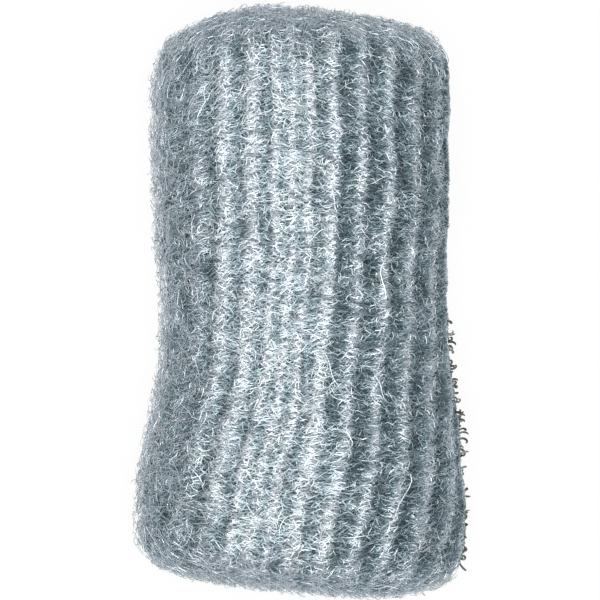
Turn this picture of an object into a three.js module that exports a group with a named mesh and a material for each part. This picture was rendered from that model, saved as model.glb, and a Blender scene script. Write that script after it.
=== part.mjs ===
// Steel wool roll: a long ribbon of steel wool, wound into a flattened roll that lies on its side.
// Millimetres, +Z up. +Y runs along the roll's axis, +X across it. The origin is under its middle.

import * as THREE from "three";
import { LoftGeometry } from "three/addons/geometries/LoftGeometry.js";
import { mergeVertices } from "three/addons/utils/BufferGeometryUtils.js";

// The roll as it lies: a rounded oblong section, pressed flat underneath by its own weight
const ROLL_LENGTH = 211;
const ROLL_WIDTH = 110.5;
const ROLL_HEIGHT = 50;
const REST_SAG = 2;
const SECTION_FULLNESS = 2.5;

// The soft waist near the middle, where the roll was once held together
const WAIST_Y = -9;
const WAIST_SPREAD = 38;
const WAIST_LEFT = 3.5;
const WAIST_RIGHT = 1;
const WAIST_TOP = 3;

// The near end (-Y) spreads wider than the far end
const FLARE_LEFT = 6;
const FLARE_LEFT_START_Y = -20;
const FLARE_RIGHT = 6;
const FLARE_RIGHT_START_Y = 10;
const FLARE_END_Y = -85;

// Where each end reaches furthest, and how far its edge falls back from there to either side
const FAR_END_PEAK_X = -13;
const FAR_END_LEFT_DROP = 12;
const FAR_END_RIGHT_DROP = 9.5;
const NEAR_END_PEAK_X = 26;
const NEAR_END_LEFT_DROP = 9;
const NEAR_END_RIGHT_DROP = 2;
const END_DROP_POWER = 1.5;

// Lengthwise ridges of the crimped ribbon, with slimmer ones along the top's middle
const RIDGE_PITCH = 10.8;
const RIDGE_DEPTH = 2.2;
const RIDGE_SHARPNESS = 1.6;
const SLIM_RIDGE_PITCH = 6.4;
const SLIM_RIDGE_DEPTH = 1.3;
const SLIM_RIDGE_COUNT = 3;
const SLIM_RIDGES_X = -3;
const RIDGE_LEAN = 18;
const RIDGE_LEAN_START_Y = 60;
const RIDGE_FADE_HEIGHT = 10;
const WAIST_RIDGE_LOSS = 0.45;
const WAIST_CREASE_SPREAD = 9;

// Fibres bunch along the ridges: the crests sink between bunches, and the ridges wander a little sideways.
// A wave has a whole number of periods round the girth, and a pitch along the roll.
const BUNCH_DEPTH = 1;
const BUNCH_WAVES = [
  { round: 9, pitch: 37 },
  { round: -11, pitch: 23 },
];
const WANDER = 0.6;
const WANDER_WAVE = { round: 3, pitch: 52 };

// Where the ribbon's loose end lies, as an angle below the left flank, and the slot it leaves
const TAIL_ANGLE = THREE.MathUtils.degToRad(35);
const TAIL_SLOT_DEPTH = 3.5;

// The round edge of the ends, and the ribbon's turns that show there as a spiral
const END_ROUND_ALONG = 16;
const END_ROUND_INWARD = 9;
const TURN_THICKNESS = 5.5;
const TURN_CROWN = 1.2;
const TURN_GROOVE = 2;
const END_BULGE = 2;

// Across one turn: up from a groove to its crown, along it and down into the next groove
const TURN_PROFILE = [
  { share: 0.3, lift: TURN_CROWN },
  { share: 0.7, lift: TURN_CROWN },
  { share: 1, lift: -TURN_GROOVE },
];
const FIRST_TURN_FADE = 0.25;

// How finely the surface is divided
const STEPS_PER_RIDGE = 4;
const BODY_STEP = 7;
const END_ROUND_STEPS = 4;
const SECTION_DIVISIONS = 1200;

const HALF_LENGTH = ROLL_LENGTH / 2;
const HALF_WIDTH = ROLL_WIDTH / 2;
const HALF_HEIGHT = (ROLL_HEIGHT + REST_SAG) / 2;
const AXIS_HEIGHT = HALF_HEIGHT - REST_SAG;
const TURN_COUNT = Math.max(1, Math.floor((HALF_HEIGHT - END_ROUND_INWARD) / TURN_THICKNESS));

const { smoothstep, clamp } = THREE.MathUtils;

const bell = (distance, spread) => Math.exp(-((distance / spread) ** 2));

// The roll's section: a superellipse seen from the near end, cut flat at z = 0.
// It starts at the loose end low on the left, climbs the left flank and runs over the top.
class RollSection extends THREE.Curve {
  constructor() {
    super();
    this.arcLengthDivisions = SECTION_DIVISIONS;
  }

  getPoint(t, target = new THREE.Vector2()) {
    const angle = 2 * Math.PI * t - TAIL_ANGLE;
    const rounded = (value) => Math.sign(value) * Math.abs(value) ** (2 / SECTION_FULLNESS);
    const x = -HALF_WIDTH * rounded(Math.cos(angle));
    const z = AXIS_HEIGHT + HALF_HEIGHT * rounded(Math.sin(angle));
    return target.set(x, Math.max(z, 0));
  }
}

const section = new RollSection();
const GIRTH = section.getLength();

// Arc length from the loose end up to the middle of the top
function arcToTop() {
  const lengths = section.getLengths();
  const topShare = (Math.PI / 2 + TAIL_ANGLE) / (2 * Math.PI);
  return lengths[Math.round(topShare * SECTION_DIVISIONS)];
}

// The ridges round the girth, each with the depth of the valley before it: slim ones near the top's
// middle, and full ones that fill the rest. The first valley is the slot at the loose end.
function ridges() {
  const slimSpan = SLIM_RIDGE_PITCH * SLIM_RIDGE_COUNT;
  const before = arcToTop() + SLIM_RIDGES_X - slimSpan / 2;
  const full = (span) => {
    const count = Math.max(1, Math.round(span / RIDGE_PITCH));
    return Array.from({ length: count }, () => ({ width: span / count, depth: RIDGE_DEPTH }));
  };
  const slim = Array.from({ length: SLIM_RIDGE_COUNT }, (_, index) => ({
    width: SLIM_RIDGE_PITCH,
    depth: index === 0 ? RIDGE_DEPTH : SLIM_RIDGE_DEPTH,
  }));
  const all = [...full(before), ...slim, ...full(GIRTH - before - slimSpan)];
  all[0].depth = TAIL_SLOT_DEPTH;
  return all;
}

// The columns of the loft, a few to a ridge: arc length from the loose end, how far the column is sunk
// below the crests, and how much of a crest it is, from 0 in a valley to 1
function ridgeColumns() {
  const all = ridges();
  const columns = [];
  let start = 0;
  all.forEach((ridge, index) => {
    const next = all[(index + 1) % all.length];
    for (let step = 0; step < STEPS_PER_RIDGE; step += 1) {
      const share = step / STEPS_PER_RIDGE;
      const valley = (Math.cos(Math.PI * share) ** 2) ** RIDGE_SHARPNESS;
      const nearest = share < 0.5 ? ridge : next;
      const arc = start + share * ridge.width;
      columns.push({ arc, depth: nearest.depth * valley, crest: 1 - valley });
    }
    start += ridge.width;
  });
  columns.push({ ...columns[0], arc: GIRTH });
  return columns;
}

// How far the ridges lean round the roll at a place along it: straight at the far end, more and more nearer
function leanAt(y) {
  const run = clamp((RIDGE_LEAN_START_Y - y) / (RIDGE_LEAN_START_Y + HALF_LENGTH), 0, 1);
  return RIDGE_LEAN * run ** 2;
}

const waveAt = ({ round, pitch }, share, y) => Math.sin(2 * Math.PI * (round * share + y / pitch));

// How far the crests are sunk between the bunches of fibres, at a share of the girth and a place along it
function bunchSink(share, y) {
  const sum = BUNCH_WAVES.reduce((total, wave) => total + waveAt(wave, share, y), 0);
  return (BUNCH_DEPTH * (1 - sum / BUNCH_WAVES.length)) / 2;
}

// Half widths and height of the roll at a place along it, with the waist taken in and the near end flared
function stationAt(y) {
  const waist = bell(y - WAIST_Y, WAIST_SPREAD);
  const flare = (start) => smoothstep(start - y, 0, start - FLARE_END_Y);
  return {
    left: HALF_WIDTH - WAIST_LEFT * waist + FLARE_LEFT * flare(FLARE_LEFT_START_Y),
    right: HALF_WIDTH - WAIST_RIGHT * waist + FLARE_RIGHT * flare(FLARE_RIGHT_START_Y),
    top: ROLL_HEIGHT - WAIST_TOP * waist,
  };
}

// How far an end's edge lies back from its furthest point at a place across the roll
function endDrop(x, peakX, leftDrop, rightDrop) {
  const isLeft = x < peakX;
  const away = isLeft ? (peakX - x) / (HALF_WIDTH + peakX) : (x - peakX) / (HALF_WIDTH - peakX);
  return (isLeft ? leftDrop : rightDrop) * away ** END_DROP_POWER;
}

// Moves a point along the axis, more and more towards the ends, so that they get their edges' shapes
function shapeEnds(x, y) {
  const farDrop = endDrop(x, FAR_END_PEAK_X, FAR_END_LEFT_DROP, FAR_END_RIGHT_DROP);
  const nearDrop = endDrop(x, NEAR_END_PEAK_X, NEAR_END_LEFT_DROP, NEAR_END_RIGHT_DROP);
  return y - (y > 0 ? farDrop : -nearDrop) * (Math.abs(y) / HALF_LENGTH);
}

// One point of the roll's surface: a column's place on the section, sunk by its ridge, drawn in by inset
function surfacePoint(column, y, inset, ridgeShare) {
  const stationY = clamp(y, -HALF_LENGTH, HALF_LENGTH);
  const share = column.arc / GIRTH;
  const arc = column.arc + WANDER * waveAt(WANDER_WAVE, share, stationY) - leanAt(stationY);
  const turn = ((arc / GIRTH) % 1 + 1) % 1;
  const point = section.getPointAt(turn);
  const tangent = section.getTangentAt(turn);
  const crease = 1 - WAIST_RIDGE_LOSS * bell(stationY - WAIST_Y, WAIST_CREASE_SPREAD);
  const fade = ridgeShare * crease * smoothstep(point.y, 0, RIDGE_FADE_HEIGHT);
  const sunk = (column.depth + column.crest * bunchSink(share, stationY)) * fade;
  const station = stationAt(stationY);
  const side = point.x < 0 ? station.left : station.right;
  const across = (point.x + tangent.y * sunk) * (side / HALF_WIDTH) * (1 - inset / HALF_WIDTH);
  const above = AXIS_HEIGHT + (point.y - tangent.x * sunk - AXIS_HEIGHT) * (1 - inset / HALF_HEIGHT);
  return new THREE.Vector3(across, shapeEnds(across, y), (above * station.top) / ROLL_HEIGHT);
}

const columns = ridgeColumns();

// A closed ring of the roll's skin
function ring(y, inset, ridgeShare) {
  return columns.map((column) => surfacePoint(column, y, inset, ridgeShare));
}

// The straight part of the roll, from the near end's round edge to the far end's
function bodyRings() {
  const reach = HALF_LENGTH - END_ROUND_ALONG;
  const steps = Math.max(2, Math.round((2 * reach) / BODY_STEP));
  return Array.from({ length: steps + 1 }, (_, step) => {
    const y = -reach + (2 * reach * step) / steps;
    return ring(y, 0, 1);
  });
}

// The round edge of one end, as quarter-ellipse steps from the skin to the end face
function roundEdgeRings(end) {
  return Array.from({ length: END_ROUND_STEPS }, (_, step) => {
    const angle = ((step + 1) / END_ROUND_STEPS) * (Math.PI / 2);
    const y = HALF_LENGTH - END_ROUND_ALONG * (1 - Math.sin(angle));
    return ring(end * y, END_ROUND_INWARD * (1 - Math.cos(angle)), Math.cos(angle));
  });
}

// The wound turns on one end face, as rows that follow the ribbon round once. A row ends where the
// row one turn further in starts, so the rows join into one spiral. The first turn fades in.
function spiralRows(end) {
  const rows = [];
  for (let turn = 0; turn < TURN_COUNT; turn += 1) {
    for (const { share, lift } of TURN_PROFILE) {
      rows.push(columns.map((column) => {
        const round = column.arc / GIRTH;
        const inward = turn === 0 ? share * round : turn - 1 + share + round;
        const fadeIn = turn === 0 ? smoothstep(round, 0, FIRST_TURN_FADE) : 1;
        const out = fadeIn * lift + (END_BULGE * inward) / TURN_COUNT;
        const inset = END_ROUND_INWARD + TURN_THICKNESS * inward;
        return surfacePoint(column, end * (HALF_LENGTH + out), inset, 0);
      }));
    }
  }
  return rows;
}

// Closes an end face: the edge where the last turn stops is carried to the middle of the roll
function closingRows(rows, end) {
  const middle = new THREE.Vector3(0, shapeEnds(0, end * (HALF_LENGTH + END_BULGE)), AXIS_HEIGHT);
  const edge = rows.slice(-TURN_PROFILE.length).map((row) => row[row.length - 1]);
  return edge.map((point) => columns.map((_, index) => (index === 0 ? point.clone() : middle.clone())));
}

function endRows(end) {
  const turns = spiralRows(end);
  return [...roundEdgeRings(end), ...turns, ...closingRows(turns, end)];
}

// Takes out the triangles that have shrunk to a line where rows share points
function dropEmptyTriangles(geometry) {
  const index = geometry.getIndex().array;
  const kept = [];
  for (let corner = 0; corner < index.length; corner += 3) {
    const [a, b, c] = index.slice(corner, corner + 3);
    if (a !== b && b !== c && c !== a) {
      kept.push(a, b, c);
    }
  }
  geometry.setIndex(kept);
}

function rollGeometry() {
  const rows = [...endRows(-1).reverse(), ...bodyRings(), ...endRows(1)];
  const loft = new LoftGeometry(rows, { closed: false });
  const skin = new THREE.BufferGeometry().setIndex(loft.getIndex());
  skin.setAttribute("position", loft.getAttribute("position"));
  const geometry = mergeVertices(skin);
  dropEmptyTriangles(geometry);
  geometry.computeBoundingBox();
  const middle = geometry.boundingBox.getCenter(new THREE.Vector3());
  geometry.translate(-middle.x, -middle.y, -geometry.boundingBox.min.z);
  geometry.computeVertexNormals();
  return geometry;
}

const steelWool = new THREE.MeshStandardMaterial({ color: 0x93a2a7, roughness: 0.45, metalness: 0.85 });

const roll = new THREE.Mesh(rollGeometry(), steelWool);
roll.name = "steel_wool_roll";

const object = new THREE.Group();
object.add(roll);

export default object;
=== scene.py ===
"""Steel wool roll: its ridged core, the steel fibres matted round it and the stage, as a Blender add-on."""

import math
from typing import NamedTuple

import bpy
import numpy as np
from bpy.props import FloatProperty, FloatVectorProperty, IntProperty, PointerProperty
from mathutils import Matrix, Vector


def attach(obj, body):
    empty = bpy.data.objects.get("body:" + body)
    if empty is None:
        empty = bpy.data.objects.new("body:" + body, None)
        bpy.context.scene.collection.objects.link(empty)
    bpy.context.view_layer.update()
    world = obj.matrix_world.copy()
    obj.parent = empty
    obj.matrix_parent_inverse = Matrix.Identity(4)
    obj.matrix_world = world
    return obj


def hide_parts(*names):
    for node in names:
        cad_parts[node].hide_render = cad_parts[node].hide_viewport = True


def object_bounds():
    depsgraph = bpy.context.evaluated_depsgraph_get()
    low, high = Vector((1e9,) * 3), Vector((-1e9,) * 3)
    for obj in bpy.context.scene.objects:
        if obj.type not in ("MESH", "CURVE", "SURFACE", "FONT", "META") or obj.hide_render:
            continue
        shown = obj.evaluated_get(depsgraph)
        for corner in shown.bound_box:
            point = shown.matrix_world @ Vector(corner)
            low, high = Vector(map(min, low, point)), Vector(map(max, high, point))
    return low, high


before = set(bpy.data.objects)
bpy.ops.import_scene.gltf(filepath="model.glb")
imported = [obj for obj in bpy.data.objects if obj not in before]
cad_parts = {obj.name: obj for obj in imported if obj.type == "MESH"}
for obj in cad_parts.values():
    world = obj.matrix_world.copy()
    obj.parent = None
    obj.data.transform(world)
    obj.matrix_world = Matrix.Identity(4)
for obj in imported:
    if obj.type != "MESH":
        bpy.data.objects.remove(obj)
CAD_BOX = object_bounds()

bl_info = {
    "name": "Steel wool roll",
    "version": (1, 0, 0),
    "blender": (4, 5, 0),
    "location": "View3D > Sidebar > Steel wool",
    "description": "Builds a flattened roll of steel wool from a ridged core and mats of steel fibres",
    "category": "Add Mesh",
}

ROLL_NODE = "steel_wool_roll"
BODY = "root"
BAKE_MAP = "OFBake"
VALLEY_LAYER = "valley"
TINY = 1e-12

# The section's fullness, and where the ribbon's loose end lies below the left flank
SECTION_FULLNESS = 2.5
TAIL_ANGLE = math.radians(35)
TAIL_SLOT_DEPTH = 0.0035
SECTION_POINTS = 4096

# Points round and along the skin on which its box is measured
BOX_COLUMNS = 800
BOX_ROWS = 400

# The soft waist near the middle
WAIST_Y = -0.009
WAIST_SPREAD = 0.038
WAIST_LEFT = 0.0035
WAIST_RIGHT = 0.001
WAIST_TOP = 0.003
WAIST_CREASE_SPREAD = 0.009
WAIST_RIDGE_LOSS = 0.45

# The near end (-Y) spreads wider than the far end
FLARE_LEFT = 0.006
FLARE_LEFT_START_Y = -0.020
FLARE_RIGHT = 0.006
FLARE_RIGHT_START_Y = 0.010
FLARE_END_Y = -0.085

# Where each end reaches furthest, and how far its edge falls back to either side
FAR_END = (-0.013, 0.012, 0.0095)
NEAR_END = (0.026, 0.009, 0.002)
END_DROP_POWER = 1.5

# The ridges' profile, the slimmer ones along the top's middle, and how they lean
RIDGE_SHARPNESS = 1.6
SLIM_RIDGE_PITCH = 0.0064
SLIM_RIDGE_DEPTH = 0.0013
SLIM_RIDGE_COUNT = 3
SLIM_RIDGES_X = -0.003
RIDGE_LEAN = 0.018
RIDGE_LEAN_START_Y = 0.060
RIDGE_FADE_HEIGHT = 0.010

# Fibres bunch along the ridges: the crests sink between bunches, and the ridges wander a little sideways
BUNCH_DEPTH = 0.001
BUNCH_WAVES = ((9, 0.037), (-11, 0.023))
WANDER = 0.0006
WANDER_WAVE = (3, 0.052)

# The ends' round edge, and the relief of the wound turns on the end faces
END_ROUND_ALONG = 0.016
END_ROUND_INWARD = 0.009
TURN_THICKNESS = 0.0055
TURN_CROWN = 0.0012
TURN_GROOVE = 0.002
TURN_EDGE = 4
END_BULGE = 0.002
FIRST_TURN_FADE = 0.25


class RollSizes(bpy.types.PropertyGroup):
    """Sizes of the roll as it lies"""

    length: FloatProperty(
        name="Length", description="Length of the roll between its end faces", default=0.211, unit="LENGTH")
    width: FloatProperty(
        name="Width", description="Width of the roll at its far end", default=0.1105, unit="LENGTH")
    height: FloatProperty(
        name="Height", description="Height of the roll as it lies", default=0.050, unit="LENGTH")
    rest_sag: FloatProperty(
        name="Rest sag", description="How far its weight presses it flat", default=0.002, unit="LENGTH")
    ridge_pitch: FloatProperty(
        name="Ridge pitch", description="Distance from ridge to ridge", default=0.0108, unit="LENGTH")
    ridge_depth: FloatProperty(
        name="Ridge depth", description="Depth of the valleys", default=0.0022, unit="LENGTH")
    core_columns: IntProperty(
        name="Core columns", description="Points round the core", default=240, min=100)
    core_rows: IntProperty(
        name="Core rows", description="Points along the core", default=120, min=50)


class WoolFinish(bpy.types.PropertyGroup):
    """Colours of the steel, as linear reflectance"""

    # The steels make the fibres' tone ramp: dark steel is painted shade, and bright steel carries the painted
    # highlights on the crests and the painted glints
    dark_steel: FloatVectorProperty(
        name="Dark steel", description="Fibres in the shade of others", subtype="COLOR",
        default=(0.18, 0.26, 0.29))
    steel: FloatVectorProperty(
        name="Steel", description="Most fibres", subtype="COLOR", default=(0.46, 0.58, 0.63))
    bright_steel: FloatVectorProperty(
        name="Bright steel", description="Fibres with a fresh cut face", subtype="COLOR",
        default=(0.84, 0.90, 0.95))
    # Core shade is the dark end of the core's grain, and it is also painted shade in the valleys and low
    # between the strands
    core_shade: FloatVectorProperty(
        name="Core shade", description="Deep in the matted wool", subtype="COLOR",
        default=(0.20, 0.29, 0.33))
    core_steel: FloatVectorProperty(
        name="Core steel", description="Matted wool under the loose fibres", subtype="COLOR",
        default=(0.70, 0.79, 0.83))
    curl_shade: FloatVectorProperty(
        name="Curl shade", description="Darkest of the coarser curls", subtype="COLOR",
        default=(0.10, 0.12, 0.095))
    curl_steel: FloatVectorProperty(
        name="Curl steel", description="Lightest of the coarser curls", subtype="COLOR",
        default=(0.24, 0.28, 0.22))
    fibre_roughness: FloatProperty(
        name="Fibre roughness", description="Roughness of a fibre", default=0.50, min=0.0, max=1.0)
    curl_roughness: FloatProperty(
        name="Curl roughness", description="Roughness of a coarser curl", default=0.5, min=0.0, max=1.0)


class StageSettings(bpy.types.PropertyGroup):
    """Floor, light and camera"""

    floor_size: FloatProperty(
        name="Floor size", description="Side of the floor", default=40.0, unit="LENGTH")
    lens: FloatProperty(
        name="Lens", description="Focal length in millimetres", default=135.0, subtype="DISTANCE_CAMERA")
    view_width: FloatProperty(
        name="View width", description="Width that the camera sees at half the roll's height",
        default=0.2226, unit="LENGTH")
    key_power: FloatProperty(
        name="Key power", description="Power of the overhead lamp in watts", default=8.5, unit="POWER")
    key_size: FloatProperty(
        name="Key size", description="Side of the overhead lamp", default=0.75, unit="LENGTH")
    key_place: FloatVectorProperty(
        name="Key place", description="Where the overhead lamp hangs", subtype="TRANSLATION",
        default=(-0.02, -0.08, 1.2))
    aim: FloatVectorProperty(
        name="Aim", description="Point over which the camera hangs, from the middle of the roll's box",
        subtype="TRANSLATION", default=(-0.0008, 0.0007, 0.0))
    sky_strength: FloatProperty(
        name="Sky strength", description="Strength of the even light all round", default=0.42)


def smooth(value):
    """3 s^2 - 2 s^3 of the value limited to 0..1."""
    s = np.clip(value, 0.0, 1.0)
    return s * s * (3.0 - 2.0 * s)


def bell(distance, spread):
    """e to the minus square of distance over spread."""
    return np.exp(-np.square(distance / spread))


def running_wave(wave, u, y):
    """sin(2 pi (periods u + y / pitch)) of a wave: whole periods round the girth, and a pitch along y."""
    periods, pitch = wave
    return np.sin(2 * np.pi * (periods * u + y / pitch))


class RollForm:
    """The roll's skin as a formula of two parameters.

    u is the share of the way round the roll along its ridges, from the ribbon's loose end low on the left,
    up and over the top. v is the distance along the skin from the roll's middle, positive to the far end:
    it follows the straight flank, then the round edge, then runs inwards over the end face.
    """

    def __init__(self, sizes):
        self.half_length = sizes.length / 2
        self.half_width = sizes.width / 2
        self.height = sizes.height
        self.half_height = (sizes.height + sizes.rest_sag) / 2
        self.axis_height = self.half_height - sizes.rest_sag
        self.ridge_depth = sizes.ridge_depth
        self.reach = self.half_length - END_ROUND_ALONG
        self.edge_run = math.pi / 2 * math.hypot(END_ROUND_ALONG, END_ROUND_INWARD) / math.sqrt(2)
        self.turn_count = int((self.half_height - END_ROUND_INWARD) / TURN_THICKNESS)
        self.v_end = self.reach + self.edge_run + self.turn_count * TURN_THICKNESS
        self._measure_section()
        self._measure_ridges(sizes)
        self.shift = np.zeros(3)
        self.shift = self._shift_to_origin()

    def _shift_to_origin(self):
        """The move that brings the middle of the bottom of the skin's box to the origin."""
        u = np.linspace(0, 1, BOX_COLUMNS)[None, :]
        v = np.linspace(-self.v_end, self.v_end, BOX_ROWS)[:, None]
        skin = self.points(u, v).reshape(-1, 3)
        low, high = skin.min(axis=0), skin.max(axis=0)
        return -np.array([(low[0] + high[0]) / 2, (low[1] + high[1]) / 2, low[2]])

    def _measure_section(self):
        """Superellipse |x/a|^n + |z/b|^n = 1 cut flat at z = 0, as a table of evenly spaced points."""
        angle = np.linspace(0, 2 * np.pi, SECTION_POINTS + 1) - TAIL_ANGLE
        power = 2 / SECTION_FULLNESS
        x = -self.half_width * np.sign(np.cos(angle)) * np.abs(np.cos(angle)) ** power
        z = self.axis_height + self.half_height * np.sign(np.sin(angle)) * np.abs(np.sin(angle)) ** power
        z = np.maximum(z, 0.0)
        run = np.concatenate([[0.0], np.cumsum(np.hypot(np.diff(x), np.diff(z)))])
        self.girth = run[-1]
        self.top_run = np.interp(np.pi / 2, angle, run)
        self.table = np.linspace(0, 1, SECTION_POINTS + 1)
        self.section_x = np.interp(self.table * self.girth, run, x)
        self.section_z = np.interp(self.table * self.girth, run, z)
        step_x, step_z = np.gradient(self.section_x), np.gradient(self.section_z)
        size = np.hypot(step_x, step_z)
        self.normal_x, self.normal_z = -step_z / size, step_x / size

    def _measure_ridges(self, sizes):
        """Places of the valleys, as shares of the girth, and their depths.

        Slim ridges lie near the top's middle. On either side, as many full ridges as fit fill the rest.
        """
        slim_span = SLIM_RIDGE_PITCH * SLIM_RIDGE_COUNT
        before = self.top_run + SLIM_RIDGES_X - slim_span / 2
        after = self.girth - before - slim_span
        counts = [max(1, round(span / sizes.ridge_pitch)) for span in (before, after)]
        widths = np.repeat([before / counts[0], SLIM_RIDGE_PITCH, after / counts[1]],
                           [counts[0], SLIM_RIDGE_COUNT, counts[1]])
        self.valleys = np.concatenate([[0.0], np.cumsum(widths)]) / self.girth
        self.depths = np.full(len(self.valleys), sizes.ridge_depth)
        self.depths[counts[0] + 1:counts[0] + SLIM_RIDGE_COUNT] = SLIM_RIDGE_DEPTH
        self.depths[[0, -1]] = TAIL_SLOT_DEPTH

    def crest(self, u):
        """sin^2 of the place across the ridge, 0 in a valley and 1 on a crest, and the valley's depth."""
        share = u % 1.0
        ridge = np.clip(np.searchsorted(self.valleys, share, side="right") - 1, 0, len(self.valleys) - 2)
        start, end = self.valleys[ridge], self.valleys[ridge + 1]
        place = (share - start) / (end - start)
        return np.sin(np.pi * place) ** 2, self.depths[ridge + (place >= 0.5)]

    def lean(self, y):
        """How far the ridges lean round the roll at y: a square law from the lean's start."""
        run = np.clip((RIDGE_LEAN_START_Y - y) / (RIDGE_LEAN_START_Y + self.half_length), 0.0, 1.0)
        return RIDGE_LEAN * run ** 2

    def along(self, v):
        """Place along the axis, angle round the end's edge and way in over the end face, at v."""
        past = np.abs(v) - self.reach
        angle = np.clip(past / self.edge_run, 0.0, 1.0) * np.pi / 2
        inward = np.maximum(past - self.edge_run, 0.0)
        y = np.minimum(np.abs(v), self.reach) + END_ROUND_ALONG * np.sin(angle)
        return np.sign(v) * y, angle, inward

    def section(self, u, y):
        """Place x, z and outward normal of the section at share u, moved round by the wander and the lean."""
        aside = WANDER * running_wave(WANDER_WAVE, u, y) - self.lean(y)
        share = (u + aside / self.girth) % 1.0
        tables = (self.section_x, self.section_z, self.normal_x, self.normal_z)
        return tuple(np.interp(share, self.table, column) for column in tables)

    def sunk(self, u, y, bridge):
        """How far the skin lies below the crests' level: in the valleys, and on the crests between bunches.

        A valley's share is cos^2 of the place across the ridge, to the power of the sharpness.
        """
        crest, depth = self.crest(u)
        valley = (1.0 - crest) ** RIDGE_SHARPNESS
        bunches = sum(running_wave(wave, u, y) for wave in BUNCH_WAVES) / len(BUNCH_WAVES)
        between = BUNCH_DEPTH * (1.0 - bunches) / 2
        crease = 1.0 - WAIST_RIDGE_LOSS * bell(y - WAIST_Y, WAIST_CREASE_SPREAD)
        return (depth * valley * (1.0 - bridge) + between * (1.0 - valley)) * crease

    def end_shift(self, x, y):
        """How far an end's edge lies back: a power of the way from where the end reaches furthest."""
        shift = np.zeros(np.broadcast(x, y).shape)
        for side, (peak, left_drop, right_drop) in ((1, FAR_END), (-1, NEAR_END)):
            room = np.where(x < peak, self.half_width + peak, self.half_width - peak)
            drop = np.where(x < peak, left_drop, right_drop)
            fall = drop * (np.abs(x - peak) / room) ** END_DROP_POWER
            shift -= side * fall * np.maximum(side * y, 0.0) / self.half_length
        return shift

    def turn_relief(self, u, inward):
        """How far the wound turns stand out of the end face: a crown on each turn, a groove between turns."""
        turns = inward / TURN_THICKNESS
        around = u % 1.0
        first = turns < around
        place = np.where(first, turns / np.maximum(around, TINY), (turns - around) % 1.0)
        groove = np.where(first & (place < 0.5), 0.0, TURN_GROOVE)
        fade = np.where(first, smooth(around / FIRST_TURN_FADE), 1.0)
        relief = TURN_CROWN - (TURN_CROWN + groove) * np.abs(np.cos(np.pi * place)) ** TURN_EDGE
        return np.where(inward > 0, fade * relief, 0.0)

    def normals(self, u, v):
        """Outward direction of the smooth skin: the section's normal, tipped over to the axis at the ends."""
        y, angle, _ = self.along(v)
        _, _, normal_x, normal_z = self.section(u, y)
        tip = np.sign(v) * np.sin(angle)
        return np.stack(np.broadcast_arrays(normal_x * np.cos(angle), tip, normal_z * np.cos(angle)), axis=-1)

    def points(self, u, v, height=0.0, bridge=0.0):
        """Points on the skin, or at a height above it. A bridge of 1 passes over the valleys.

        The section is sunk by the ridges, drawn in towards the ends, stretched to the half widths of its
        station and moved along the axis by the end's shape and the relief of the turns.
        """
        y, angle, inward = self.along(v)
        x, z, normal_x, normal_z = self.section(u, y)
        sunk = self.sunk(u, y, bridge) * np.cos(angle) * smooth(z / RIDGE_FADE_HEIGHT)
        waist = bell(y - WAIST_Y, WAIST_SPREAD)
        flare_left = FLARE_LEFT * smooth((FLARE_LEFT_START_Y - y) / (FLARE_LEFT_START_Y - FLARE_END_Y))
        flare_right = FLARE_RIGHT * smooth((FLARE_RIGHT_START_Y - y) / (FLARE_RIGHT_START_Y - FLARE_END_Y))
        grow = np.where(x < 0, flare_left - WAIST_LEFT * waist, flare_right - WAIST_RIGHT * waist)
        inset = END_ROUND_INWARD * (1.0 - np.cos(angle)) + inward
        across = (x - normal_x * sunk) * (1.0 + grow / self.half_width) * (1.0 - inset / self.half_width)
        above = (z - normal_z * sunk - self.axis_height) * (1.0 - inset / self.half_height) + self.axis_height
        above = above * (1.0 - WAIST_TOP * waist / self.height)
        bulge = END_BULGE * inward / (self.turn_count * TURN_THICKNESS)
        along = y + np.sign(v) * (self.turn_relief(u, inward) + bulge)
        along = along + self.end_shift(across, along)
        skin = np.stack(np.broadcast_arrays(across, along, above), axis=-1)
        return skin + self.normals(u, v) * np.asarray(height)[..., None] + self.shift


def new_mesh_object(name, points, faces, corner_uv, smooth_faces=True):
    """A mesh object at the origin, from vertex places, faces of equal size and UVs per face corner."""
    mesh = bpy.data.meshes.new(name)
    sides = faces.shape[1]
    mesh.vertices.add(len(points))
    mesh.vertices.foreach_set("co", points.astype(np.float32).ravel())
    mesh.loops.add(faces.size)
    mesh.loops.foreach_set("vertex_index", faces.astype(np.int32).ravel())
    mesh.polygons.add(len(faces))
    mesh.polygons.foreach_set("loop_start", np.arange(0, faces.size, sides, dtype=np.int32))
    mesh.update(calc_edges=True)
    layer = mesh.uv_layers.new(name=BAKE_MAP)
    layer.uv.foreach_set("vector", corner_uv.astype(np.float32).ravel())
    if smooth_faces:
        mesh.shade_smooth()
    else:
        mesh.shade_flat()
    piece = bpy.data.objects.new(name, mesh)
    bpy.context.scene.collection.objects.link(piece)
    return piece


class Socket:
    """A shader value that takes part in Python expressions: each operator adds one Math node."""

    def __init__(self, finish, socket):
        self.finish = finish
        self.socket = socket

    def _math(self, operation, first, second):
        return self.finish.node("ShaderNodeMath", {"operation": operation}, {0: first, 1: second})

    def __add__(self, other):
        return self._math("ADD", self, other)

    def __sub__(self, other):
        return self._math("SUBTRACT", self, other)

    def __rsub__(self, other):
        return self._math("SUBTRACT", other, self)

    def __mul__(self, other):
        return self._math("MULTIPLY", self, other)

    __radd__ = __add__
    __rmul__ = __mul__


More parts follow.
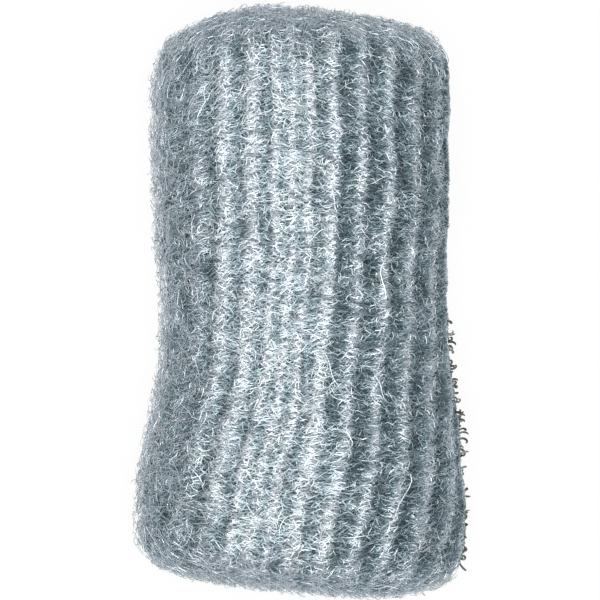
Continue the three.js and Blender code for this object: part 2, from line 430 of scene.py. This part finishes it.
class Finish:
    """A node material: every node but those of plain maths comes from its one method."""

    def __init__(self, name):
        self.material = bpy.data.materials.new(name)
        self.material.use_nodes = True
        self.tree = self.material.node_tree
        self.tree.nodes.clear()

    def node(self, kind, settings=None, inputs=None, output=0):
        """Adds a node: its settings first, then values or links for its sockets. Gives one of its outputs."""
        node = self.tree.nodes.new(kind)
        for name, value in (settings or {}).items():
            if name == "stops":
                self._set_stops(node.color_ramp.elements, value)
            else:
                setattr(node, name, value)
        for name, value in (inputs or {}).items():
            if isinstance(value, Socket):
                self.tree.links.new(value.socket, node.inputs[name])
            else:
                node.inputs[name].default_value = value
        return Socket(self, node.outputs[output]) if len(node.outputs) else node

    @staticmethod
    def _set_stops(elements, stops):
        while len(elements) < len(stops):
            elements.new(1.0)
        for element, (place, colour) in zip(elements, stops):
            element.position = place
            element.color = (*colour, 1.0)

    def surface(self, shader):
        """Makes a shader the material's surface, and gives the material."""
        self.node("ShaderNodeOutputMaterial", inputs={"Surface": shader})
        return self.material


# The core's finish: its noise has so many cells in a metre round the roll and along it
CORE_CELLS_ROUND = 160
CORE_CELLS_ALONG = 2200
CORE_NOISE = {"Scale": 1.0, "Detail": 3.0, "Roughness": 0.6, "Distortion": 1.2}
CORE_BUMP = {"Strength": 0.8, "Distance": 0.0006}
CORE_GLOSS = {"Metallic": 0.9, "Roughness": 0.45}
CORE_DARK_STOP = 0.30
CORE_LIGHT_STOP = 0.68
# Painted shade: how much darker the core is in the valleys
VALLEY_SHADE = 0.25


def core_finish(colours, form):
    """Matted wool: noise drawn out along the fibres gives its grain, and painted shade darkens it in the
    valleys and in the low places between the strands.
    """
    finish = Finish("matted_steel_wool")
    place = finish.node("ShaderNodeUVMap", {"uv_map": BAKE_MAP})
    cells = (form.girth * CORE_CELLS_ROUND, form.v_end * 2 * CORE_CELLS_ALONG, 1.0)
    drawn_out = finish.node("ShaderNodeVectorMath", {"operation": "MULTIPLY"}, {0: place, 1: cells})
    noise = finish.node("ShaderNodeTexNoise", {"noise_dimensions": "2D"}, {"Vector": drawn_out, **CORE_NOISE})
    valley = finish.node("ShaderNodeAttribute", {"attribute_name": VALLEY_LAYER}, output="Fac")
    stops = [(CORE_DARK_STOP, tuple(colours.core_shade)), (CORE_LIGHT_STOP, tuple(colours.core_steel))]
    colour = finish.node("ShaderNodeValToRGB", {"stops": stops}, {"Fac": noise - valley * VALLEY_SHADE})
    bump = finish.node("ShaderNodeBump", inputs={"Height": noise, **CORE_BUMP})
    return finish.surface(finish.node("ShaderNodeBsdfPrincipled", inputs={
        "Base Color": colour, "Normal": bump, **CORE_GLOSS}))


def tone_finish(name, stops, roughness):
    """Steel whose colour follows a fibre's tone, which is where it lies across its UV map."""
    finish = Finish(name)
    place = finish.node("ShaderNodeUVMap", {"uv_map": BAKE_MAP})
    tone = finish.node("ShaderNodeSeparateXYZ", inputs={"Vector": place}, output="X")
    colour = finish.node("ShaderNodeValToRGB", {"stops": stops}, {"Fac": tone})
    return finish.surface(finish.node("ShaderNodeBsdfPrincipled", inputs={
        "Base Color": colour, "Metallic": 1.0, "Roughness": roughness}))


def fibre_finish(colours):
    """Drawn steel fibres, from painted shade on those under others to painted highlights and glints on the
    brightest.
    """
    steels = (colours.dark_steel, colours.steel, colours.bright_steel)
    stops = list(zip((0.0, 0.5, 1.0), map(tuple, steels)))
    return tone_finish("steel_fibre", stops, colours.fibre_roughness)


def curl_finish(colours):
    """Coarser wire, dull and dark."""
    stops = [(0.0, tuple(colours.curl_shade)), (1.0, tuple(colours.curl_steel))]
    return tone_finish("dark_steel_curl", stops, colours.curl_roughness)


# The core: lumps of the matting, as the spread of the noise round the roll and along it
CORE_SEED = 3
LUMP_HEIGHT = 0.00035
LUMP_SPREAD_ROUND = 6.0
LUMP_SPREAD_ALONG = 1.5

# How far the core lies below the skin, and how far in the fringe, where only loose fibres reach the skin
CORE_SINK = 0.0009
FRINGE_SINK = 0.0040
FRINGE_NORMAL = 0.60
FRINGE_NORMAL_RUN = 0.30
END_FRINGE = 0.6
UNDER_FADE = 0.6

# The fringe is frayed: how far it swells and shrinks, in waves as those of the bunches
FRAY = 0.0010
FRAY_WAVES = ((2, 0.043), (-5, 0.017), (7, 0.0113), (-3, 0.026))


def lumps(rows, columns):
    """Random field, softened by a bell curve of two spreads: its spectrum is damped by that of the bell."""
    field = np.random.default_rng(CORE_SEED).standard_normal((rows, columns))
    across = np.fft.fftfreq(columns)[None, :] * LUMP_SPREAD_ROUND
    along = np.fft.fftfreq(rows)[:, None] * LUMP_SPREAD_ALONG
    damped = np.fft.ifft2(np.fft.fft2(field) * np.exp(-2 * np.pi ** 2 * (across ** 2 + along ** 2))).real
    return damped / damped.std()


def fringe(form, u, v):
    """How far a place belongs to the fringe, 0 to 1: by how much its normal points left or out of an end."""
    across, along, up = np.moveaxis(form.normals(u, v), -1, 0)
    left = smooth((-across - FRINGE_NORMAL) / FRINGE_NORMAL_RUN)
    end = smooth((np.abs(along) - FRINGE_NORMAL) / FRINGE_NORMAL_RUN)
    return np.maximum(left, END_FRINGE * end) * smooth(1.0 + (up + UNDER_FADE) / UNDER_FADE)


def fringe_sink(form, u, v):
    """How much deeper the matted wool lies in the fringe, with the waves of the fray."""
    fray = FRAY * sum(running_wave(wave, u, v) for wave in FRAY_WAVES) / len(FRAY_WAVES)
    return (FRINGE_SINK - CORE_SINK + fray) * fringe(form, u, v)


def core_depth(form, u, v):
    """How far the core lies below the skin: nothing underneath, a little elsewhere, more in the fringe."""
    up = form.normals(u, v)[..., 2]
    return CORE_SINK * smooth((1.0 + up) / UNDER_FADE) + fringe_sink(form, u, v)


def core_grid(form, columns, rows):
    """Points of the core and how far each lies in a valley: an even grid of u and v, and a tip for each end.

    The skin is sunk by the core's depth and roughened by the lumps. A tip lies in the middle of its ring.
    """
    u = np.arange(columns) / columns
    v = np.linspace(-form.v_end, form.v_end, rows)
    height = -LUMP_HEIGHT * np.abs(lumps(rows, columns)) - core_depth(form, u[None, :], v[:, None])
    rings = form.points(u[None, :], v[:, None], height)
    rings[..., 2] = np.maximum(rings[..., 2], 0.0)
    tips = rings[[0, -1]].mean(axis=1)
    points = np.concatenate([rings.reshape(-1, 3), tips])
    valley = 1.0 - form.crest(u)[0]
    return points, np.concatenate([np.tile(valley, rows), np.full(len(tips), valley.mean())])


def ring_bands(columns, rows):
    """Two triangles for each cell between neighbouring rings, with UVs that run on past the seam."""
    ring = np.arange(columns)
    start = np.arange(rows - 1)[:, None] * columns
    here, beside = (start + ring).ravel(), (start + (ring + 1) % columns).ravel()
    cells = np.stack([here, beside, beside + columns, here + columns], axis=1)
    place = np.stack([np.tile(ring, rows - 1), np.repeat(np.arange(rows - 1), columns)], axis=-1)
    corners = np.array([[0, 0], [1, 0], [1, 1], [0, 1]])
    cell_uv = (place[:, None] + corners) / np.array([columns, rows - 1])
    split = [[0, 1, 3], [1, 2, 3]]
    return cells[:, split].reshape(-1, 3), cell_uv[:, split].reshape(-1, 3, 2)


def end_fans(columns, rows):
    """A triangle from each end's tip to each step of its ring, with the tip's UV one row in."""
    ring = np.arange(columns)
    after = (ring + 1) % columns
    last = (rows - 1) * columns
    near_tip = np.full(columns, rows * columns)
    near = np.stack([after, ring, near_tip], axis=1)
    far = np.stack([last + ring, last + after, near_tip + 1], axis=1)
    step = 1 / (rows - 1)
    fan_u = np.stack([ring + 1, ring, ring + 0.5], axis=1) / columns
    near_uv = np.stack([fan_u, np.tile([0.0, 0.0, step], (columns, 1))], axis=-1)
    far_uv = np.stack([fan_u[:, [1, 0, 2]], np.tile([1.0, 1.0, 1.0 - step], (columns, 1))], axis=-1)
    return np.concatenate([near, far]), np.concatenate([near_uv, far_uv])


def core_faces(columns, rows):
    """The core's triangles and their corner UVs: bands between its rings, and a fan on each end."""
    bands, fans = ring_bands(columns, rows), end_fans(columns, rows)
    return tuple(np.concatenate(parts) for parts in zip(bands, fans))


class WOOL_OT_core(bpy.types.Operator):
    """Builds the matted core that stands for the solid roll"""

    bl_idname = "steel_wool.core"
    bl_label = "Matted core"

    def execute(self, context):
        sizes = context.scene.wool_sizes
        form = RollForm(sizes)
        points, valley = core_grid(form, sizes.core_columns, sizes.core_rows)
        faces, corner_uv = core_faces(sizes.core_columns, sizes.core_rows)
        piece = new_mesh_object("wool_core", points, faces, corner_uv)
        layer = piece.data.attributes.new(VALLEY_LAYER, "FLOAT", "POINT")
        layer.data.foreach_set("value", valley.astype(np.float32))
        piece.data.materials.append(core_finish(context.scene.wool_finish, form))
        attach(piece, BODY)
        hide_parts(ROLL_NODE)
        return {"FINISHED"}


class Mat(NamedTuple):
    """One mat of fibres and how they lie. Lengths and heights are in metres, angles in radians.

    heading is the scatter of the fibres' direction, which is straight round the roll on average. bow and wave
    are shares of a fibre's length, bridge is the share of a valley's depth that it passes over, and spread is
    the share of the fringe's depth over which the fibres lie between the sunk wool and the skin.
    """

    name: str
    seed: int
    count: int
    region: str
    stations: int
    length: tuple
    width: tuple
    heading: float
    bow: float
    wave: float
    height: tuple
    arch: float
    lift: float
    bridge: float
    tone: float
    spread: float = 0.0


# The mats' tones hold painted shade and light: the lower top mat is painted darker as shade under the upper
# mats, and the ends' round edges are painted lighter where they turn away from the lamp
MATS = (
    Mat("fibre_mat_top_lower", seed=11, count=8000, region="top", stations=5, length=(0.006, 0.011),
        width=(0.00036, 0.00050), heading=0.40, bow=0.08, wave=0.05, height=(-0.0009, -0.0005),
        arch=0.0003, lift=0.0, bridge=0.1, tone=0.56),
    Mat("fibre_mat_top_upper", seed=12, count=16000, region="top", stations=4, length=(0.0025, 0.0065),
        width=(0.00026, 0.00040), heading=0.60, bow=0.10, wave=0.08, height=(-0.0007, 0.0),
        arch=0.0004, lift=0.0, bridge=0.5, tone=0.72),
    Mat("fibre_mat_top_fine", seed=18, count=10000, region="top", stations=4, length=(0.002, 0.005),
        width=(0.00022, 0.00032), heading=0.9, bow=0.18, wave=0.10, height=(-0.0004, 0.0002),
        arch=0.0004, lift=0.0, bridge=0.55, tone=0.72),
    Mat("fibre_mat_flanks", seed=13, count=12000, region="flanks", stations=4, length=(0.004, 0.009),
        width=(0.00024, 0.00038), heading=0.42, bow=0.14, wave=0.08, height=(-0.0008, 0.0),
        arch=0.0005, lift=0.0, bridge=0.25, tone=0.56),
    Mat("fibre_mat_end_faces", seed=20, count=4000, region="end_faces", stations=4, length=(0.004, 0.008),
        width=(0.00026, 0.00040), heading=0.30, bow=0.06, wave=0.05, height=(-0.0004, 0.0004),
        arch=0.0004, lift=0.0, bridge=0.0, tone=0.72),
    Mat("fibre_mat_ends", seed=14, count=5500, region="ends", stations=4, length=(0.004, 0.009),
        width=(0.00028, 0.00042), heading=0.90, bow=0.20, wave=0.08, height=(-0.0008, 0.0),
        arch=0.0008, lift=0.0, bridge=0.3, tone=0.92),
    Mat("fibre_mat_underside", seed=15, count=2000, region="underside", stations=4, length=(0.008, 0.012),
        width=(0.00040, 0.00055), heading=0.45, bow=0.12, wave=0.05, height=(0.0, 0.0003),
        arch=0.0, lift=0.0, bridge=0.0, tone=0.50),
    Mat("edge_fuzz", seed=16, count=9000, region="fringe", stations=4, length=(0.003, 0.008),
        width=(0.00022, 0.00032), heading=1.2, bow=0.25, wave=0.10, height=(0.0, 0.0004),
        arch=0.0014, lift=0.0024, bridge=0.6, tone=1.05, spread=1.0),
    Mat("tangle_strands", seed=19, count=3000, region="tangle", stations=6, length=(0.006, 0.014),
        width=(0.00022, 0.00032), heading=0.6, bow=0.20, wave=0.12, height=(-0.0002, 0.0004),
        arch=0.0005, lift=0.0, bridge=0.6, tone=1.15),
    Mat("stray_fibres", seed=17, count=60, region="top", stations=9, length=(0.008, 0.020),
        width=(0.00024, 0.00034), heading=1.0, bow=0.25, wave=0.10, height=(0.0003, 0.0006),
        arch=0.0004, lift=0.0004, bridge=0.6, tone=0.85),
)

# A fibre's tone runs from 0, dark, to 1, bright: how far it varies by fibre, along a fibre and in patches
TONE_SCATTER = 0.13
TONE_FLICKER = 0.10
MOTTLE_TONE = 0.07
MOTTLE_WAVES = ((5, 0.019), (-13, 0.031), (17, 0.023), (-7, 0.011), (23, 0.047))

# Painted light and shade of the ridges and the wound turns on the tone: a painted highlight on the crests,
# painted shade in the valleys, on the right and in the grooves between turns. Powers of the crest make the
# painted highlight broad on the left, slim on the right
CREST_HIGHLIGHT_TONE = 0.44
VALLEY_SHADE_TONE = -0.20
BROAD_HIGHLIGHT = 1.1
SLIM_HIGHLIGHT = 3.0
SLIM_HIGHLIGHT_X = 0.004
SLIM_HIGHLIGHT_RUN = 0.016
RIGHT_SHADE_TONE = -0.09
TURN_GROOVE_SHADE = 0.55

# A fibre is rolled about its own length, more where it lies loose. There a share of the fibres gets a painted
# glint, a brighter tone, and the rest a darker one.
ROLL_SCATTER = 0.35
LOOSE_ROLL = 0.7
GLINT_TONE = 0.60
GLINT_SHARE = 0.22

# Where the wool is tangled, and what that adds to the fibres' headings, bows and heights
TANGLE_LEFT_X = -0.027
TANGLE_LEFT_RUN = 0.020
TANGLE_FAR_V = 0.088
TANGLE_NEAR_V = 0.108
TANGLE_END_RUN = 0.016
TANGLE_HEADING = 0.15
TANGLE_BOW = 0.20
TANGLE_HEIGHT = 0.0008
TANGLE_TONE = -0.03

# Limits of the regions: the outward normal's part upwards or along the roll, and a share of fringe or tangle
TOP_NORMAL = 0.5
UNDER_NORMAL = -0.6
END_NORMAL = 0.5
FACE_NORMAL = 0.97
REGION_SHARE = 0.5

# Places tried for each fibre, and how far a place is moved at random so that none is used twice
OVERSAMPLE = 8
NUDGE = 0.002

# Fibres stay this far above the roll's lowest point, and the floor lies as far below it
FLOOR_CLEARANCE = 0.0003


def region_test(form, region, u, v):
    """Which places on the skin belong to a region, by the outward normal or a share."""
    _, along, up = np.moveaxis(form.normals(u, v), -1, 0)
    end = np.abs(along) > END_NORMAL
    tests = {
        "top": ~end & (up > TOP_NORMAL),
        "flanks": ~end & (up <= TOP_NORMAL) & (up >= UNDER_NORMAL),
        "underside": ~end & (up < UNDER_NORMAL),
        "ends": end & (np.abs(along) < FACE_NORMAL),
        "end_faces": np.abs(along) >= FACE_NORMAL,
        "fringe": fringe(form, u, v) > REGION_SHARE,
        "tangle": (tangle(form, u, v) > REGION_SHARE) & (up > UNDER_NORMAL),
    }
    return tests[region]


def scatter(form, rng, count, region):
    """Random places u, v on the skin in a region, evenly spread."""
    u = rng.random(count * OVERSAMPLE)
    v = rng.uniform(-form.v_end, form.v_end, count * OVERSAMPLE)
    kept = np.resize(np.flatnonzero(region_test(form, region, u, v)), count)
    nudge_u, nudge_v = rng.uniform(-NUDGE, NUDGE, (2, count))
    return u[kept] + nudge_u / form.girth, v[kept] + nudge_v


def unit(vectors):
    """Vectors of length 1 along the given ones."""
    return vectors / np.maximum(np.linalg.norm(vectors, axis=-1, keepdims=True), TINY)


# A strand's corners, the first a quarter turn from its side, and the column that they share in the UV map
STRAND_SIDES = 3
FIRST_CORNER = 0.25
TONE_COLUMN = 1 / 64


def strands(paths, radius, tone, facing, roll):
    """Closed three-sided strands along paths, pointed at both ends: their points, faces and corner UVs.

    Each inner point of a path carries a ring of corners round the path's direction, and each end is one
    point. Without a roll, one of the three faces looks the way the strand is facing. The radius tapers as
    the root of a half sine. A corner's UV is its tone across and its place along.
    """
    count, stations, _ = paths.shape
    forward = unit(np.gradient(paths, axis=1))
    side = unit(np.cross(forward, facing[:, None]))
    below = np.cross(forward, side)
    corner = np.arange(STRAND_SIDES)[:, None] / STRAND_SIDES + FIRST_CORNER
    turn = roll[:, None, None, None] + 2 * np.pi * corner
    ring = side[:, 1:-1, None] * np.cos(turn) + below[:, 1:-1, None] * np.sin(turn)
    along = np.linspace(0, 1, stations)
    reach = radius[:, None] * np.sqrt(np.sin(np.pi * along[1:-1]))
    rings = paths[:, 1:-1, None] + reach[..., None, None] * ring
    points = np.concatenate([paths[:, :1], rings.reshape(count, -1, 3), paths[:, -1:]], axis=1)
    ring_u = tone[:, 1:-1, None] + np.arange(STRAND_SIDES) * TONE_COLUMN / 2
    point_u = np.concatenate([tone[:, :1], ring_u.reshape(count, -1), tone[:, -1:]], axis=1)
    point_v = np.concatenate([[0.0], np.repeat(along[1:-1], STRAND_SIDES), [1.0]])
    uv = np.stack(np.broadcast_arrays(point_u, point_v), axis=-1)
    first = np.arange(count)[:, None, None] * points.shape[1]
    faces = (strand_faces(stations) + first).reshape(-1, 3)
    return points.reshape(-1, 3), faces, uv.reshape(-1, 2)[faces]


def strand_faces(stations):
    """Triangles of one strand: a fan on its first point, bands between its rings, a fan on its last point."""
    corner = np.arange(STRAND_SIDES)
    after = (corner + 1) % STRAND_SIDES
    rings = stations - 2
    last = 1 + STRAND_SIDES * rings
    start = 1 + STRAND_SIDES * np.arange(rings - 1)[:, None]
    here, beside = (start + corner).ravel(), (start + after).ravel()
    tip = np.zeros(STRAND_SIDES, int)
    return np.concatenate([
        np.stack([tip, 1 + after, 1 + corner], axis=1),
        np.stack([here, beside, beside + STRAND_SIDES], axis=1),
        np.stack([here, beside + STRAND_SIDES, here + STRAND_SIDES], axis=1),
        np.stack([tip + last, last - STRAND_SIDES + corner, last - STRAND_SIDES + after], axis=1),
    ])


def tangle(form, u, v):
    """How tangled the wool is, 0 to 1: along the left flank and towards both ends."""
    x = form.points(u, v)[..., 0]
    left = smooth((TANGLE_LEFT_X - x) / TANGLE_LEFT_RUN)
    end = smooth((np.abs(v) - np.where(v > 0, TANGLE_FAR_V, TANGLE_NEAR_V)) / TANGLE_END_RUN)
    return np.maximum(left, end)


def slim_highlight_side(x):
    """How far a place lies on the right, 0 to 1, where the painted highlights on the crests are slim and the
    painted shade of the valleys broad.
    """
    return smooth((x - SLIM_HIGHLIGHT_X) / SLIM_HIGHLIGHT_RUN)


def crest_share(form, u, x):
    """A power of the crest, which shapes the painted highlight: low on the left, where it is broad, and high
    on the right, where it is slim.
    """
    return form.crest(u)[0] ** (BROAD_HIGHLIGHT + (SLIM_HIGHLIGHT - BROAD_HIGHLIGHT) * slim_highlight_side(x))


def looseness_and_glint(form, u, v):
    """How loosely fibres lie, 0 to 1, which also sets where glints are painted: in tangled wool, and in the
    broad valleys of painted shade on the right.
    """
    x = form.points(u, v)[..., 0]
    return np.maximum(tangle(form, u, v), slim_highlight_side(x) * (1.0 - crest_share(form, u, x)))


def ridge_light_and_shade(form, u, x):
    """Painted light and shade of the ridges in a fibre's tone: from painted shade in the valley to a painted
    highlight on the crest, and painted shade on the right.
    """
    valley = VALLEY_SHADE_TONE * np.minimum(form.crest(u)[1] / form.ridge_depth, 1.0)
    return valley + (CREST_HIGHLIGHT_TONE - valley) * crest_share(form, u, x) + RIGHT_SHADE_TONE * slim_highlight_side(x)


def turn_groove_shade(form, u, v):
    """Painted shade of the wound turns on a fibre's tone: all of it in a groove, nothing on a crown."""
    inward = form.along(v)[2]
    share = (form.turn_relief(u, inward) - TURN_CROWN) / (TURN_CROWN + TURN_GROOVE)
    return np.where(inward > 0, TURN_GROOVE_SHADE * share, 0.0)


def place_tone(form, u, v, x, tangled):
    """What a place adds to a fibre's tone: painted highlight and shade by its ridge, unless it is tangled,
    its patch, and painted shade in the grooves of its turn.
    """
    patch = MOTTLE_TONE * sum(running_wave(wave, u, v) for wave in MOTTLE_WAVES)
    return ridge_light_and_shade(form, u, x) * (1.0 - tangled) + patch + turn_groove_shade(form, u, v)


def fibre_paths(form, mat, rng):
    """Paths of a mat's fibres over the skin, the tone at each point, and each fibre's facing and roll.

    With s from -1/2 to 1/2 along a fibre, it runs ahead by its length times s, and aside by
    bow (1 - 4 s^2) + wave sin(2 pi s). Its height is base + arch (1 - 4 s^2) + lift (s + 1/2)^2.
    """
    u, v = scatter(form, rng, mat.count, mat.region)
    tangled, loose = tangle(form, u, v), looseness_and_glint(form, u, v)
    length = rng.uniform(*mat.length, mat.count)
    heading, bow, wave, tone, roll = rng.standard_normal((5, mat.count))
    base, arch, lift, glint, rise = rng.random((5, mat.count))
    heading = (heading * (mat.heading + TANGLE_HEADING * tangled))[:, None]
    bow = (bow * length * (mat.bow + TANGLE_BOW * tangled))[:, None]
    wave = (wave * length * mat.wave)[:, None]
    base = mat.height[0] + base * (mat.height[1] - mat.height[0] + TANGLE_HEIGHT * tangled)
    base = (base - fringe_sink(form, u, v) * (1.0 - mat.spread * rise))[:, None]
    s = np.linspace(-0.5, 0.5, mat.stations)
    hump = 1.0 - 4.0 * s ** 2
    ahead = length[:, None] * s
    aside = bow * hump + wave * np.sin(2 * np.pi * s)
    path_u = u[:, None] + (ahead * np.cos(heading) - aside * np.sin(heading)) / form.girth
    path_v = v[:, None] + ahead * np.sin(heading) + aside * np.cos(heading)
    height = base + mat.arch * arch[:, None] * hump + mat.lift * lift[:, None] * (s + 0.5) ** 2
    paths = form.points(path_u, np.clip(path_v, -form.v_end, form.v_end), height, mat.bridge)
    paths[..., 2] = np.maximum(paths[..., 2], FLOOR_CLEARANCE)
    # Painted glints: where the wool lies loose, a share of the fibres is painted brighter and the rest darker
    glint = GLINT_TONE * np.where(glint < GLINT_SHARE, 1.0 - GLINT_SHARE, -GLINT_SHARE)
    tone = (mat.tone + TONE_SCATTER * tone + TANGLE_TONE * tangled + glint * loose)[:, None]
    tone = tone + TONE_FLICKER * rng.standard_normal((mat.count, mat.stations))
    # Painted highlights on the crests, painted shade in the valleys, on the right and in the grooves of the
    # turns, as well as patches
    tone = tone + place_tone(form, path_u, path_v, paths[..., 0], tangled[:, None])
    roll = roll * (ROLL_SCATTER + LOOSE_ROLL * loose)
    return paths, np.clip(tone, 0.0, 1.0 - TONE_COLUMN), form.normals(u, v), roll


def add_fibres(name, paths, radius, tone, facing, roll, material):
    """Makes a piece of fibres that rides on the roll and takes its finish."""
    piece = new_mesh_object(name, *strands(paths, radius, tone, facing, roll), smooth_faces=False)
    piece.data.materials.append(material)
    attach(piece, BODY)
    return piece


class WOOL_OT_fibre_mats(bpy.types.Operator):
    """Lays the mats of fibres round the core"""

    bl_idname = "steel_wool.fibre_mats"
    bl_label = "Fibre mats"

    def execute(self, context):
        form = RollForm(context.scene.wool_sizes)
        material = fibre_finish(context.scene.wool_finish)
        for mat in MATS:
            rng = np.random.default_rng(mat.seed)
            paths, tone, facing, roll = fibre_paths(form, mat, rng)
            radius = rng.uniform(*mat.width, mat.count) / 2
            add_fibres(mat.name, paths, radius, tone, facing, roll, material)
        return {"FINISHED"}


# The curls of coarser, darker wire, spaced along the right flank's widest line
CURL_SEED = 21
CURL_COUNT = 54
CURL_STATIONS = 16
CURL_SPAN = (-0.098, -0.008)
CURL_SPREAD = 0.0025
CURL_ROOT = 0.0015
CURL_REACH = (0.0010, 0.0030)
CURL_DRIFT = 0.0040
CURL_RADIUS = (0.0008, 0.0014)
CURL_TURNS = (0.4, 1.2)
CURL_WIDTH = (0.00075, 0.00110)
CURL_FACING = (0.31, 0.17, 0.93)


def curl_places(form, rng):
    """Places u, v of the curls' roots: one at random in each of as many stretches of the widest line."""
    stretch = (np.arange(CURL_COUNT) + rng.random(CURL_COUNT)) / CURL_COUNT
    v = CURL_SPAN[0] + (CURL_SPAN[1] - CURL_SPAN[0]) * stretch
    aside = form.lean(v) + rng.uniform(-CURL_SPREAD, CURL_SPREAD, CURL_COUNT)
    return form.table[np.argmax(form.section_x)] + aside / form.girth, v


def curl_paths(form, rng):
    """Paths of the curls, with t from 0 at the root to 1 at the free end.

    A curl leaves the skin along its normal by reach times t, and drifts along the roll and up or down, while
    it goes round a loop: radius (1 - cos(turn t)) along the normal, and radius sin(turn t) along the roll.
    """
    u, v = curl_places(form, rng)
    normal = form.normals(u, v)[:, None]
    root = form.points(u, v, np.full(CURL_COUNT, -CURL_ROOT))[:, None]
    reach, radius, turns = (rng.uniform(*span, CURL_COUNT)[:, None, None]
                            for span in (CURL_REACH, CURL_RADIUS, CURL_TURNS))
    drift, rise = rng.uniform(-CURL_DRIFT, CURL_DRIFT, (2, CURL_COUNT))[..., None, None]
    t = np.linspace(0, 1, CURL_STATIONS)[:, None]
    turn = 2 * np.pi * turns * t
    outward = reach * t + radius * (1.0 - np.cos(turn))
    along = drift * t + np.sign(drift) * radius * np.sin(turn)
    aside = np.stack(np.broadcast_arrays(0.0, along[..., 0], (rise * t)[..., 0]), axis=-1)
    return root + outward * normal + aside


class WOOL_OT_edge_curls(bpy.types.Operator):
    """Adds the curls of coarser wire that stand off the right flank"""

    bl_idname = "steel_wool.edge_curls"
    bl_label = "Edge curls"

    def execute(self, context):
        form = RollForm(context.scene.wool_sizes)
        rng = np.random.default_rng(CURL_SEED)
        paths = curl_paths(form, rng)
        radius = rng.uniform(*CURL_WIDTH, CURL_COUNT) / 2
        tone = np.broadcast_to(rng.random(CURL_COUNT)[:, None], paths.shape[:2])
        facing = np.broadcast_to(CURL_FACING, (CURL_COUNT, 3))
        add_fibres("edge_curls", paths, radius, tone * (1.0 - TONE_COLUMN), facing, np.zeros(CURL_COUNT),
                   curl_finish(context.scene.wool_finish))
        return {"FINISHED"}


# The floor's white as the camera and reflections see it, its share in the mix, and the matt grey under it
FLOOR_WHITE = 1.02
FLOOR_WHITE_SHARE = 0.9
FLOOR_MATT = 0.95


def floor_finish():
    """White to the camera and in reflections, with part of its own shading left so that shadows show."""
    finish = Finish("white_floor")
    camera = finish.node("ShaderNodeLightPath", output="Is Camera Ray")
    glossy = finish.node("ShaderNodeLightPath", output="Is Glossy Ray")
    through = finish.node("ShaderNodeLightPath", output="Is Transmission Ray")
    white = finish.node("ShaderNodeEmission", inputs={"Color": (1.0, 1.0, 1.0, 1.0), "Strength": FLOOR_WHITE})
    matt = finish.node("ShaderNodeBsdfDiffuse", inputs={"Color": (FLOOR_MATT, FLOOR_MATT, FLOOR_MATT, 1.0)})
    return finish.surface(finish.node("ShaderNodeMixShader", inputs={
        0: (camera + glossy + through) * FLOOR_WHITE_SHARE, 1: matt, 2: white}))


class WOOL_OT_stage(bpy.types.Operator):
    """Sets up the floor, the light and the camera that looks straight down on the roll"""

    bl_idname = "steel_wool.stage"
    bl_label = "Stage"

    def execute(self, context):
        settings = context.scene.wool_stage
        self.add_floor(settings)
        self.add_light(context.scene, settings)
        self.add_camera(context.scene, settings)
        context.scene.view_settings.view_transform = "Standard"
        return {"FINISHED"}

    @staticmethod
    def add_floor(settings):
        """A flat square just below the roll."""
        square = np.array([[0, 0], [1, 0], [1, 1], [0, 1]], float)
        level = np.full(len(square), -FLOOR_CLEARANCE)
        corners = np.column_stack([(square - 0.5) * settings.floor_size, level])
        floor = new_mesh_object("floor", corners, np.array([[0, 1, 2, 3]]), square[None])
        floor.data.materials.append(floor_finish())

    @staticmethod
    def add_light(scene, settings):
        """One broad lamp overhead, turned to the roll, and an even white sky."""
        lamp = bpy.data.lights.new("key", "AREA")
        lamp.energy = settings.key_power
        lamp.size = settings.key_size
        key = bpy.data.objects.new("key", lamp)
        key.location = settings.key_place
        key.rotation_euler = (-key.location).to_track_quat("-Z", "Y").to_euler()
        scene.collection.objects.link(key)
        world = bpy.data.worlds.new("sky")
        world.use_nodes = True
        sky = world.node_tree.nodes["Background"]
        sky.inputs["Color"].default_value = (1.0, 1.0, 1.0, 1.0)
        sky.inputs["Strength"].default_value = settings.sky_strength
        scene.world = world

    @staticmethod
    def add_camera(scene, settings):
        """Straight above the roll's middle, at view width times focal length over sensor width."""
        lens = bpy.data.cameras.new("camera")
        lens.lens = settings.lens
        camera = bpy.data.objects.new("camera", lens)
        low, high = CAD_BOX
        distance = settings.view_width * settings.lens / lens.sensor_width
        camera.location = (low + high) / 2 + settings.aim
        camera.location.z += distance
        scene.collection.objects.link(camera)
        scene.camera = camera


class WOOL_PT_panel(bpy.types.Panel):
    """Lists the steps that build the roll, with their sizes and colours"""

    bl_idname = "WOOL_PT_panel"
    bl_label = "Steel wool roll"
    bl_space_type = "VIEW_3D"
    bl_region_type = "UI"
    bl_category = "Steel wool"

    def draw(self, context):
        for group in (context.scene.wool_sizes, context.scene.wool_finish, context.scene.wool_stage):
            box = self.layout.box()
            for name in group.bl_rna.properties.keys():
                if name not in ("rna_type", "name"):
                    box.prop(group, name)
        for step in STEPS:
            self.layout.operator(step.bl_idname)


STEPS = (WOOL_OT_core, WOOL_OT_fibre_mats, WOOL_OT_edge_curls, WOOL_OT_stage)
CLASSES = (RollSizes, WoolFinish, StageSettings, *STEPS, WOOL_PT_panel)


def register():
    for cls in CLASSES:
        bpy.utils.register_class(cls)
    bpy.types.Scene.wool_sizes = PointerProperty(type=RollSizes)
    bpy.types.Scene.wool_finish = PointerProperty(type=WoolFinish)
    bpy.types.Scene.wool_stage = PointerProperty(type=StageSettings)


def unregister():
    for name in ("wool_sizes", "wool_finish", "wool_stage"):
        delattr(bpy.types.Scene, name)
    for cls in reversed(CLASSES):
        bpy.utils.unregister_class(cls)


def main():
    register()
    bpy.ops.steel_wool.core()
    bpy.ops.steel_wool.fibre_mats()
    bpy.ops.steel_wool.edge_curls()
    bpy.ops.steel_wool.stage()


if __name__ == "__main__":
    main()
